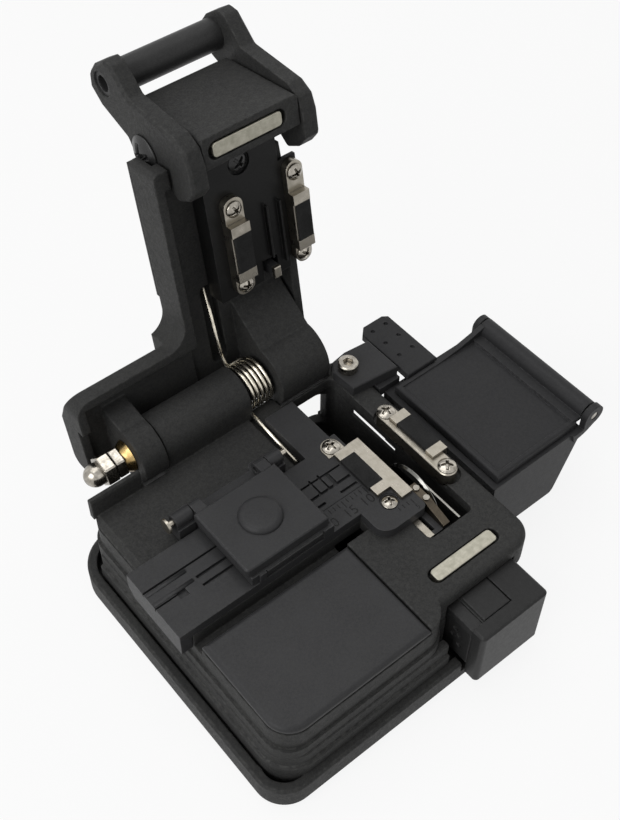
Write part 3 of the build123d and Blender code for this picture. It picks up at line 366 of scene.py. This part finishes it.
def wear(piece, finish):
    piece.data.materials.clear()
    piece.data.materials.append(finishes[finish])


dressed = set()
for slotName, names in wearers.items():
    for name in names:
        wear(nodes[name], slotName)
        dressed.add(name)
print("nodes dressed:", len(dressed), "left bare:", sorted(set(nodes) - dressed))


# helpers for new pieces

mergeReach = 0.0005 * mm  # vertices nearer than this are made one


def startPiece(name, grid, body, slotName, finish=None):
    # the bmesh becomes an object at the origin, with its place in its mesh
    bmesh.ops.remove_doubles(grid, verts=grid.verts, dist=mergeReach)
    bmesh.ops.recalc_face_normals(grid, faces=grid.faces)
    mesh = bpy.data.meshes.new(name)
    grid.to_mesh(mesh)
    grid.free()
    piece = bpy.data.objects.new(name, mesh)
    scene.collection.objects.link(piece)
    wear(piece, finish or slotName)
    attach(piece, body)
    return piece


def addBlock(grid, low, high):
    middle = [(a + b) / 2 for a, b in zip(low, high)]
    size = [b - a for a, b in zip(low, high)]
    place = Matrix.Translation(Vector(middle)) @ Matrix.Diagonal((*size, 1.0))
    return bmesh.ops.create_cube(grid, size=1.0, matrix=place)["verts"]


def addTurned(grid, profile, steps, place):
    # radius and height pairs spun round the placed Z axis
    known = set(grid.verts)
    line = [grid.verts.new(place @ Vector((radius, 0.0, height))) for radius, height in profile]
    edges = [grid.edges.new(pair) for pair in zip(line, line[1:])]
    axis = place.to_3x3() @ Vector((0, 0, 1))
    bmesh.ops.spin(grid, geom=line + edges, cent=place.translation, axis=axis, angle=math.tau,
                   steps=steps, use_merge=True)
    return [vert for vert in grid.verts if vert not in known]


def drawOut(grid, face, reach):
    # the face is drawn out into a bar, and its far end is given back
    made = bmesh.ops.extrude_face_region(grid, geom=[face, *face.edges, *face.verts])["geom"]
    moved = [item for item in made if isinstance(item, bmesh.types.BMVert)]
    bmesh.ops.translate(grid, vec=reach, verts=moved)
    return next(item for item in made if isinstance(item, bmesh.types.BMFace))


def smoothFaces(grid):
    for face in grid.faces:
        face.smooth = True


# the cross of a screw head, as shares of the head's radius and rise
crossShape = {"half": 0.20, "reach": 0.66, "depth": 0.85, "slope": 0.05, "taper": 0.35,
              "topStart": 1.01, "rimShare": 0.26, "rings": 30, "steps": 96}


def crossHead(radius, rise):
    return {"radius": radius, "rise": rise,
            "crossHalf": crossShape["half"] * radius, "crossReach": crossShape["reach"] * radius,
            "crossDepth": crossShape["depth"] * rise, "crossSlope": crossShape["slope"] * radius}


def addCrossHead(grid, head, place):
    # a low dome on a straight rim, with a tapered cross sunk in its top
    radius, rise = head["radius"], head["rise"]
    rings, rimShare = crossShape["rings"], crossShape["rimShare"]
    profile = []
    for ring in range(rings + 1):
        share = ring / rings
        profile.append((radius * share, rise * (1.0 - (1.0 - rimShare) * share * share)))
    profile += [(radius, 0.0), (0.0, 0.0)]
    inward = place.inverted()
    for vert in addTurned(grid, profile, crossShape["steps"], place):
        local = inward @ vert.co
        if local.z < rise * rimShare * crossShape["topStart"]:
            continue
        across, along = sorted((abs(local.x), abs(local.y)))
        half = head["crossHalf"] * (1.0 - crossShape["taper"] * along / head["crossReach"])
        into = min(half - across, head["crossReach"] - along) / head["crossSlope"]
        local.z -= head["crossDepth"] * max(0.0, min(1.0, into))
        vert.co = place @ local


def turnedTo(position, facing, turn):
    # a place whose Z axis points where the head faces
    spin = Matrix.Rotation(math.radians(turn), 4, "Z")
    aim = Vector(facing).to_track_quat("Z", "Y").to_matrix().to_4x4()
    return Matrix.Translation(Vector(position)) @ aim @ spin


def bendRoute(corners, reach, points):
    # the corners of a bent wire, each eased into a short curve
    route = [corners[0]]
    for before, corner, after in zip(corners, corners[1:], corners[2:]):
        start = corner + (before - corner).normalized() * min(reach, (before - corner).length / 2)
        end = corner + (after - corner).normalized() * min(reach, (after - corner).length / 2)
        for index in range(points + 1):
            share = index / points
            route.append(start.lerp(corner, share).lerp(corner.lerp(end, share), share))
    route.append(corners[-1])
    return route


def addWire(grid, route, radius, sides):
    # a round wire along the route, closed at both ends
    rings = []
    side = (route[1] - route[0]).orthogonal()
    for index, point in enumerate(route):
        ahead = (route[min(index + 1, len(route) - 1)] - route[max(index - 1, 0)]).normalized()
        side = (side - side.project(ahead)).normalized()
        other = ahead.cross(side)
        ring = []
        for step in range(sides):
            turn = math.tau * step / sides
            outward = math.cos(turn) * side + math.sin(turn) * other
            ring.append(grid.verts.new(point + radius * outward))
        rings.append(ring)
    for first, second in zip(rings, rings[1:]):
        for step in range(sides):
            after = (step + 1) % sides
            grid.faces.new((first[step], first[after], second[after], second[step]))
    grid.faces.new(rings[0])
    grid.faces.new(rings[-1][::-1])


def bevelAll(grid, edges, width, segments):
    bmesh.ops.bevel(grid, geom=edges, offset=width, segments=segments, profile=0.5, affect="EDGES",
                    material=-1)


# the lid stands open in the frame: its fittings are placed as if closed, then swung with it
hinge = {"y": 31.4 * mm, "z": 24.1 * mm, "openAngle": 99.4}
hingePoint = Vector((0, hinge["y"], hinge["z"]))
lidPose = (Matrix.Translation(hingePoint) @ Matrix.Rotation(math.radians(-hinge["openAngle"]), 4, "X")
           @ Matrix.Translation(-hingePoint))

# cross-headed screws that hold the four fibre pads: place, radius and turn of each
padScrews = {
    "lower": (
        (14.1, 10.1, 23.2, 1.7, 20),
        (14.6, -5.7, 22.6, 1.5, 65),
        (27.7, 10.1, 23.0, 1.75, 10),
        (27.9, -6.5, 23.0, 1.75, 50),
    ),
    "upper": (
        (15.2, -6.0, 25.3, 1.55, 30),
        (15.2, 10.3, 25.3, 1.55, 75),
        (28.8, -7.1, 25.3, 1.55, 15),
        (28.8, 10.3, 25.3, 1.55, 55),
    ),
    "lowerRise": 0.7 * mm, "upperRise": 1.0 * mm,
}


def makePadScrews():
    grid = bmesh.new()
    for x, y, z, radius, turn in padScrews["lower"]:
        place = turnedTo((x * mm, y * mm, z * mm), (0, 0, 1), turn)
        addCrossHead(grid, crossHead(radius * mm, padScrews["lowerRise"]), place)
    smoothFaces(grid)
    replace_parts(startPiece("lower_pad_screw_heads", grid, "base", "screw_steel"), "lower_pad_screws")
    grid = bmesh.new()
    for x, y, z, radius, turn in padScrews["upper"]:
        place = lidPose @ turnedTo((x * mm, y * mm, z * mm), (0, 0, -1), turn)
        addCrossHead(grid, crossHead(radius * mm, padScrews["upperRise"]), place)
    smoothFaces(grid)
    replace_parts(startPiece("upper_pad_screw_heads", grid, "lid", "screw_steel"), "upper_pad_screws")


makePadScrews()
print("pad screws made")

# the black screw of the lid's inner plate
plateScrew = {"x": 18.6, "y": -13.1, "z": 27.4, "radius": 1.9 * mm, "rise": 0.9 * mm, "turn": 40}


def makePlateScrew():
    grid = bmesh.new()
    spot = (plateScrew["x"] * mm, plateScrew["y"] * mm, plateScrew["z"] * mm)
    place = lidPose @ turnedTo(spot, (0, 0, -1), plateScrew["turn"])
    addCrossHead(grid, crossHead(plateScrew["radius"], plateScrew["rise"]), place)
    smoothFaces(grid)
    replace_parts(startPiece("inner_plate_screw_head", grid, "lid", "black_screw"), "inner_plate_screw")


makePlateScrew()
print("plate screw made")

# the scale engraved beside the fibre slots, in millimetres from the cut
scale = {
    "zero": 22.8 * mm, "top": 23.0 * mm, "rise": 0.012 * mm, "line": 0.2 * mm, "longEvery": 5,
    "deckValues": (10, 20), "deckBase": 0.1 * mm, "deckStart": 3.9 * mm, "deckEnd": 12.9 * mm,
    "deckTick": -0.3 * mm, "deckTickEnd": -1.3 * mm, "deckLongEnd": -2.0 * mm,
    "numerals": ((10, -1.1 * mm), (15, 0.0), (20, 0.6 * mm)),  # value, and its shift along the scale
    "numeralY": -3.1 * mm, "numeralSize": 2.8 * mm,
    "tongueValues": (5, 9), "tongueTick": -7.7 * mm, "tongueTickEnd": -8.5 * mm,
    "tongueLongEnd": -8.9 * mm, "tongueNumeral": 5, "tongueNumeralY": -9.75 * mm,
    "tongueNumeralSize": 1.5 * mm,
}


def addMark(grid, left, right, front, back):
    low, high = scale["top"] - scale["rise"], scale["top"] + scale["rise"]
    addBlock(grid, (left, front, low), (right, back, high))


def addNumeral(grid, words, x, y, size):
    curve = bpy.data.curves.new("numeral", "FONT")
    curve.body = words
    curve.size = size
    curve.align_x = "CENTER"
    curve.align_y = "CENTER"
    curve.extrude = scale["rise"]
    holder = bpy.data.objects.new("numeral", curve)
    scene.collection.objects.link(holder)
    graph = bpy.context.evaluated_depsgraph_get()
    mesh = bpy.data.meshes.new_from_object(holder.evaluated_get(graph))
    mesh.transform(Matrix.Translation(Vector((x, y, scale["top"]))))
    grid.from_mesh(mesh)
    bpy.data.objects.remove(holder)


def makeScale():
    half = scale["line"] / 2
    front, back = scale["deckBase"] - half, scale["deckBase"] + half
    grid = bmesh.new()
    addMark(grid, scale["deckStart"], scale["deckEnd"], front, back)
    for value in range(*scale["deckValues"]):
        x = scale["zero"] - value * mm
        end = scale["deckLongEnd"] if value % scale["longEvery"] == 0 else scale["deckTickEnd"]
        addMark(grid, x - half, x + half, end, scale["deckTick"])
    for value in range(*scale["tongueValues"]):
        x = scale["zero"] - value * mm
        end = scale["tongueLongEnd"] if value % scale["longEvery"] == 0 else scale["tongueTickEnd"]
        addMark(grid, x - half, x + half, end, scale["tongueTick"])
    for value, shift in scale["numerals"]:
        x = scale["zero"] - value * mm + shift
        addNumeral(grid, str(value), x, scale["numeralY"], scale["numeralSize"])
    value = scale["tongueNumeral"]
    x = scale["zero"] - value * mm
    addNumeral(grid, str(value), x, scale["tongueNumeralY"], scale["tongueNumeralSize"])
    startPiece("deck_scale", grid, "base", "deck_black", "plate_black")


makeScale()
print("scale made")

# the fixed magnet and the lid's magnet: flat bars with rounded corners and eased edges
magnetShape = {"corner": 0.75 * mm, "cornerSteps": 5, "edge": 0.12 * mm, "edgeSteps": 2,
               "uprightEdges": (0.9, 1.0), "levelEdges": (0.0, 0.1)}


def boxAsPlaced(node, place):
    # a node's low and high corners, measured in the frame that the place turns from
    bpy.context.view_layer.update()
    back = place.inverted() @ nodes[node].matrix_world
    spots = [back @ vert.co for vert in nodes[node].data.vertices]
    low = Vector([min(spot[axis] for spot in spots) for axis in range(3)])
    high = Vector([max(spot[axis] for spot in spots) for axis in range(3)])
    return low, high


def edgesAlong(grid, least, most):
    # edges whose share along Z lies between the two
    chosen = []
    for edge in grid.edges:
        share = abs((edge.verts[0].co - edge.verts[1].co).normalized().z)
        if least <= share <= most:
            chosen.append(edge)
    return chosen


def makeMagnet(name, node, body, place):
    low, high = boxAsPlaced(node, place)
    grid = bmesh.new()
    addBlock(grid, low, high)
    upright = edgesAlong(grid, *magnetShape["uprightEdges"])
    bevelAll(grid, upright, magnetShape["corner"], magnetShape["cornerSteps"])
    level = edgesAlong(grid, *magnetShape["levelEdges"])
    bevelAll(grid, level, magnetShape["edge"], magnetShape["edgeSteps"])
    bmesh.ops.transform(grid, matrix=place, verts=grid.verts)
    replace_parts(startPiece(name, grid, body, "magnet_steel"), node)


makeMagnet("base_magnet_bar", "base_magnet", "base", Matrix())
makeMagnet("lid_magnet_bar", "lid_magnet", "lid", lidPose)
print("magnets made")

# the black screws that the yoke turns on
yokeScrew = {"pivot": (-17.3 * mm, 35.0 * mm), "radius": 3.5 * mm, "rise": 1.5 * mm, "turns": (25, 70)}


def makeYokeScrews():
    low, high = boxAsPlaced("yoke_screws", lidPose)
    grid = bmesh.new()
    head = crossHead(yokeScrew["radius"], yokeScrew["rise"])
    seats = (low.x + yokeScrew["rise"], high.x - yokeScrew["rise"])
    for x, side, turn in zip(seats, (-1, 1), yokeScrew["turns"]):
        spot = lidPose @ Vector((x, *yokeScrew["pivot"]))
        addCrossHead(grid, head, turnedTo(spot, (side, 0, 0), turn))
    smoothFaces(grid)
    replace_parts(startPiece("yoke_screw_heads", grid, "handle", "black_screw"), "yoke_screws")


makeYokeScrews()
print("yoke screws made")

# the round thumb button of the fibre holder's lid
button = {"rise": 0.75 * mm, "steps": 96, "domeSteps": 12, "edge": 1.1 * mm, "crown": 0.06 * mm}


def makeButton():
    low, high = boxAsPlaced("holder_button", Matrix())
    radius = (high.x - low.x) / 2
    height = high.z - low.z + button["rise"]
    profile = [(0.0, height)]
    for step in range(button["domeSteps"] + 1):
        turn = math.pi / 2 * step / button["domeSteps"]
        profile.append((radius - button["edge"] * (1 - math.sin(turn)),
                        height - button["crown"] - button["edge"] * (1 - math.cos(turn))))
    profile += [(radius, 0.0), (0.0, 0.0)]
    grid = bmesh.new()
    place = Matrix.Translation(Vector(((low.x + high.x) / 2, (low.y + high.y) / 2, low.z)))
    addTurned(grid, profile, button["steps"], place)
    smoothFaces(grid)
    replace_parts(startPiece("holder_thumb_button", grid, "holder_lid", "deck_black"), "holder_button")


makeButton()
print("button made")

# the lid's lifting spring: the coil and its lower leg stay on the base, and the upper leg
# swings with the lid, round the coil's own axis
spring = {
    "wire": 0.39 * mm, "radius": 4.35, "pitch": 1.02, "turns": 5.35, "start": 8.6, "startAngle": 234,
    "stepsPerTurn": 40, "sides": 14, "legX": 7.95, "legFront": 12.4, "legTop": 21.33,
    "bendX": 8.5, "bendY": 27.3, "bendPoints": 6, "reach": 0.9 * mm,
    "rear": 36.6, "crossX": 13.75, "crossLift": 0.9,
    "lidBend": (10.2, 27.5, 30.4), "lidTip": (9.9, 11.6, 31.9),
}


def makeSpring():
    total = int(spring["stepsPerTurn"] * spring["turns"])
    coil = []
    for index in range(total + 1):
        turned = index / total * spring["turns"]
        angle = math.radians(spring["startAngle"]) + math.tau * turned
        coil.append(Vector(((spring["start"] + spring["pitch"] * turned) * mm,
                            hinge["y"] + spring["radius"] * mm * math.cos(angle),
                            hinge["z"] + spring["radius"] * mm * math.sin(angle))))
    lower = [Vector((spring["legX"], spring["legFront"], spring["legTop"])) * mm,
             Vector((spring["bendX"], spring["bendY"], spring["legTop"])) * mm, coil[0]]
    rear = spring["rear"] * mm
    lift = hinge["z"] + spring["crossLift"] * mm
    upper = [coil[-1], Vector((spring["crossX"] * mm, rear, lift)),
             Vector((spring["lidBend"][0] * mm, rear, lift)),
             lidPose @ (Vector(spring["lidBend"]) * mm), lidPose @ (Vector(spring["lidTip"]) * mm)]
    grid = bmesh.new()
    lowerRoute = bendRoute(lower, spring["reach"], spring["bendPoints"])
    addWire(grid, lowerRoute[:-1] + coil, spring["wire"], spring["sides"])
    smoothFaces(grid)
    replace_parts(startPiece("lid_spring", grid, "base", "spring_steel"), "torsion_spring")
    grid = bmesh.new()
    upperRoute = bendRoute(upper, spring["reach"], spring["bendPoints"])
    addWire(grid, upperRoute, spring["wire"], spring["sides"])
    smoothFaces(grid)
    startPiece("lid_spring_leg", grid, "lid", "spring_steel")


makeSpring()
print("spring made")

# the nuts on the left end of the hinge shaft
nuts = {
    "inner": -18.0, "split": -20.0, "hexEnd": -22.4, "tip": -25.6, "gap": 0.12,
    "lockAcross": 5.4, "capAcross": 5.6, "turn": 12, "bevel": 0.22 * mm, "bevelSteps": 2,
    "dome": 2.25, "domeSeat": 0.3 * mm, "domeSteps": 14, "steps": 64,
}


def addHex(grid, across, left, right):
    middle = Matrix.Translation(Vector(((left + right) / 2 * mm, hinge["y"], hinge["z"])))
    spin = Matrix.Rotation(math.radians(nuts["turn"]), 4, "Z")
    place = middle @ Matrix.Rotation(math.radians(90), 4, "Y") @ spin
    known = set(grid.edges)
    radius = across / math.sqrt(3) * mm
    bmesh.ops.create_cone(grid, cap_ends=True, segments=6, radius1=radius, radius2=radius,
                          depth=(right - left) * mm, matrix=place)
    bevelAll(grid, [edge for edge in grid.edges if edge not in known], nuts["bevel"], nuts["bevelSteps"])


def makeNuts():
    grid = bmesh.new()
    addHex(grid, nuts["lockAcross"], nuts["split"] + nuts["gap"], nuts["inner"])
    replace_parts(startPiece("shaft_lock_nut", grid, "base", "screw_steel"), "lock_nut")
    grid = bmesh.new()
    addHex(grid, nuts["capAcross"], nuts["hexEnd"], nuts["split"])
    facing = turnedTo((nuts["split"] * mm, hinge["y"], hinge["z"]), (-1, 0, 0), 0)
    dome = nuts["dome"] * mm
    neck = (nuts["split"] - nuts["tip"]) * mm - dome
    profile = [(0.0, nuts["domeSeat"]), (dome, nuts["domeSeat"]), (dome, neck)]
    for step in range(1, nuts["domeSteps"] + 1):
        turn = math.pi / 2 * step / nuts["domeSteps"]
        profile.append((dome * math.cos(turn), neck + dome * math.sin(turn)))
    for vert in addTurned(grid, profile, nuts["steps"], facing):
        for face in vert.link_faces:
            face.smooth = True
    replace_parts(startPiece("shaft_cap_nut", grid, "base", "screw_steel"), "acorn_nut")


makeNuts()
print("nuts made")

# the low ledge that runs round the body's front left corner, inside the base rim
ledge = {
    "inner": -0.7, "outer": 1.3, "low": 3.0, "high": 9.0, "upperOuter": 0.75, "upperHigh": 12.0,
    "edge": 0.3, "corner": 5.0, "cornerSteps": 12,
    "left": -28.0, "front": -28.9, "rear": 24.0, "right": 8.0,
}


def addLedge(grid, outer, high):
    # a band with a sloped top edge: drawn forwards, turned round the corner, drawn to the right
    edge = ledge["edge"]
    outline = ((ledge["inner"], ledge["low"]), (outer, ledge["low"]), (outer, high - edge),
               (outer - edge, high), (ledge["inner"], high))
    centre = Vector((ledge["left"] + ledge["corner"], ledge["front"] + ledge["corner"], 0)) * mm
    start = []
    for offset, z in outline:
        start.append(grid.verts.new(Vector((ledge["left"] - offset, ledge["rear"], z)) * mm))
    end = drawOut(grid, grid.faces.new(start), Vector((0, centre.y - ledge["rear"] * mm, 0)))
    turned = bmesh.ops.spin(grid, geom=[end, *end.edges, *end.verts], cent=centre, axis=(0, 0, 1),
                            angle=math.pi / 2, steps=ledge["cornerSteps"])["geom_last"]
    end = next(item for item in turned if isinstance(item, bmesh.types.BMFace))
    drawOut(grid, end, Vector((ledge["right"] * mm - centre.x, 0, 0)))


def makeLedges():
    grid = bmesh.new()
    addLedge(grid, ledge["outer"], ledge["high"])
    addLedge(grid, ledge["upperOuter"], ledge["upperHigh"])
    startPiece("body_ledges", grid, "base", "casting_black")


makeLedges()
print("ledges made")

# rounded ridges beside the outer guide slot, clear of the sliding holder
ridges = {"left": -30.45, "right": -22.2, "top": 23.0, "centres": (3.15, 5.45), "half": 0.42,
          "rise": 0.24, "sink": 0.02, "steps": 8}


def makeRidges():
    grid = bmesh.new()
    reach = Vector((ridges["right"] - ridges["left"], 0, 0)) * mm
    for centre in ridges["centres"]:
        ring = []
        for step in range(ridges["steps"] + 1):
            turn = math.pi * step / ridges["steps"]
            y = centre - ridges["half"] * math.cos(turn)
            z = ridges["top"] - ridges["sink"] + ridges["rise"] * math.sin(turn)
            ring.append(grid.verts.new(Vector((ridges["left"], y, z)) * mm))
        drawOut(grid, grid.faces.new(ring), reach)
    smoothFaces(grid)
    startPiece("guide_ridges", grid, "base", "deck_black")


makeRidges()
print("ridges made")

# camera

# worked out from the photograph: height and focal length in its pixels, angles in degrees
photoView = {"height": 820, "focal": 1249.5, "sensor": 36.0, "azimuth": -39.617, "elevation": 50.752,
             "roll": 0.478, "place": (-78.5 * mm, -95.65 * mm, 206.0 * mm), "near": 0.005, "far": 20.0}


def makeCamera(view):
    turn = math.radians(view["azimuth"])
    rise = math.radians(view["elevation"])
    tilt = math.radians(view["roll"])
    back = Vector((math.sin(turn) * math.cos(rise), -math.cos(turn) * math.cos(rise), math.sin(rise)))
    right = (-back).cross(Vector((0, 0, 1))).normalized()
    down = (-back).cross(right)
    across = math.cos(tilt) * right - math.sin(tilt) * down
    upright = -(math.sin(tilt) * right + math.cos(tilt) * down)
    camera = bpy.data.objects.new("photo_camera", bpy.data.cameras.new("photo_camera"))
    camera.data.sensor_fit = "VERTICAL"
    camera.data.sensor_height = view["sensor"]
    camera.data.lens = view["focal"] / view["height"] * view["sensor"]
    camera.data.clip_start = view["near"]
    camera.data.clip_end = view["far"]
    camera.matrix_world = Matrix((
        (across.x, upright.x, back.x, view["place"][0]),
        (across.y, upright.y, back.y, view["place"][1]),
        (across.z, upright.z, back.z, view["place"][2]),
        (0, 0, 0, 1)))
    scene.collection.objects.link(camera)
    scene.camera = camera


makeCamera(photoView)
print("camera set")

# floor, background and lamps

studio = {
    "floorSize": 6.0,
    "floorColour": (0.74, 0.74, 0.74),
    "whiteShare": 0.88,
    "worldLight": 0.24,
    "worldColour": (1.0, 1.0, 1.0),
    "aim": (0.01, 0.01, 0.02),
    "lamps": [
        {"name": "left_softbox", "place": (-0.62, -0.10, 0.42), "size": 0.55, "power": 3.4},
        {"name": "top_softbox", "place": (-0.02, 0.22, 0.78), "size": 0.60, "power": 2.7},
        {"name": "right_fill", "place": (0.62, 0.20, 0.45), "size": 0.55, "power": 0.45},
        {"name": "front_fill", "place": (0.18, -0.75, 0.35), "size": 0.50, "power": 0.35},
    ],
}


def whiteForEyes(tree):
    # one where the camera, a reflection or glass looks straight at it
    path = tree.nodes.new("ShaderNodeLightPath")
    seen = combine(tree, "ADD", path.outputs["Is Camera Ray"], path.outputs["Is Glossy Ray"])
    seen = combine(tree, "ADD", seen, path.outputs["Is Transmission Ray"])
    return combine(tree, "MINIMUM", seen, 1.0)


def makeStudio(settings):
    grid = bmesh.new()
    bmesh.ops.create_grid(grid, x_segments=1, y_segments=1, size=settings["floorSize"] / 2)
    mesh = bpy.data.meshes.new("studio_floor")
    grid.to_mesh(mesh)
    grid.free()
    floor = bpy.data.objects.new("studio_floor", mesh)
    scene.collection.objects.link(floor)
    material = bpy.data.materials.new("studio_paper")
    material.use_nodes = True
    tree = material.node_tree
    tree.nodes.clear()
    output = tree.nodes.new("ShaderNodeOutputMaterial")
    matt = tree.nodes.new("ShaderNodeBsdfDiffuse")
    matt.inputs["Color"].default_value = (*settings["floorColour"], 1.0)
    glow = tree.nodes.new("ShaderNodeEmission")
    glow.inputs["Strength"].default_value = 1.0
    mix = tree.nodes.new("ShaderNodeMixShader")
    share = combine(tree, "MULTIPLY", whiteForEyes(tree), settings["whiteShare"])
    tree.links.new(share, mix.inputs["Fac"])
    tree.links.new(matt.outputs["BSDF"], mix.inputs[1])
    tree.links.new(glow.outputs["Emission"], mix.inputs[2])
    tree.links.new(mix.outputs["Shader"], output.inputs["Surface"])
    mesh.materials.append(material)

    world = bpy.data.worlds.new("studio_air")
    scene.world = world
    world.use_nodes = True
    tree = world.node_tree
    tree.nodes.clear()
    output = tree.nodes.new("ShaderNodeOutputWorld")
    air = tree.nodes.new("ShaderNodeBackground")
    air.inputs["Color"].default_value = (*settings["worldColour"], 1.0)
    strength = remap(tree, whiteForEyes(tree), 0.0, 1.0, settings["worldLight"], 1.0)
    tree.links.new(strength, air.inputs["Strength"])
    tree.links.new(air.outputs["Background"], output.inputs["Surface"])

    for lamp in settings["lamps"]:
        light = bpy.data.lights.new(lamp["name"], "AREA")
        light.shape = "SQUARE"
        light.size = lamp["size"]
        light.energy = lamp["power"]
        holder = bpy.data.objects.new(lamp["name"], light)
        holder.location = lamp["place"]
        look = Vector(settings["aim"]) - Vector(lamp["place"])
        holder.rotation_euler = look.to_track_quat("-Z", "Y").to_euler()
        scene.collection.objects.link(holder)


makeStudio(studio)
scene.view_settings.view_transform = "Standard"
print("studio set")
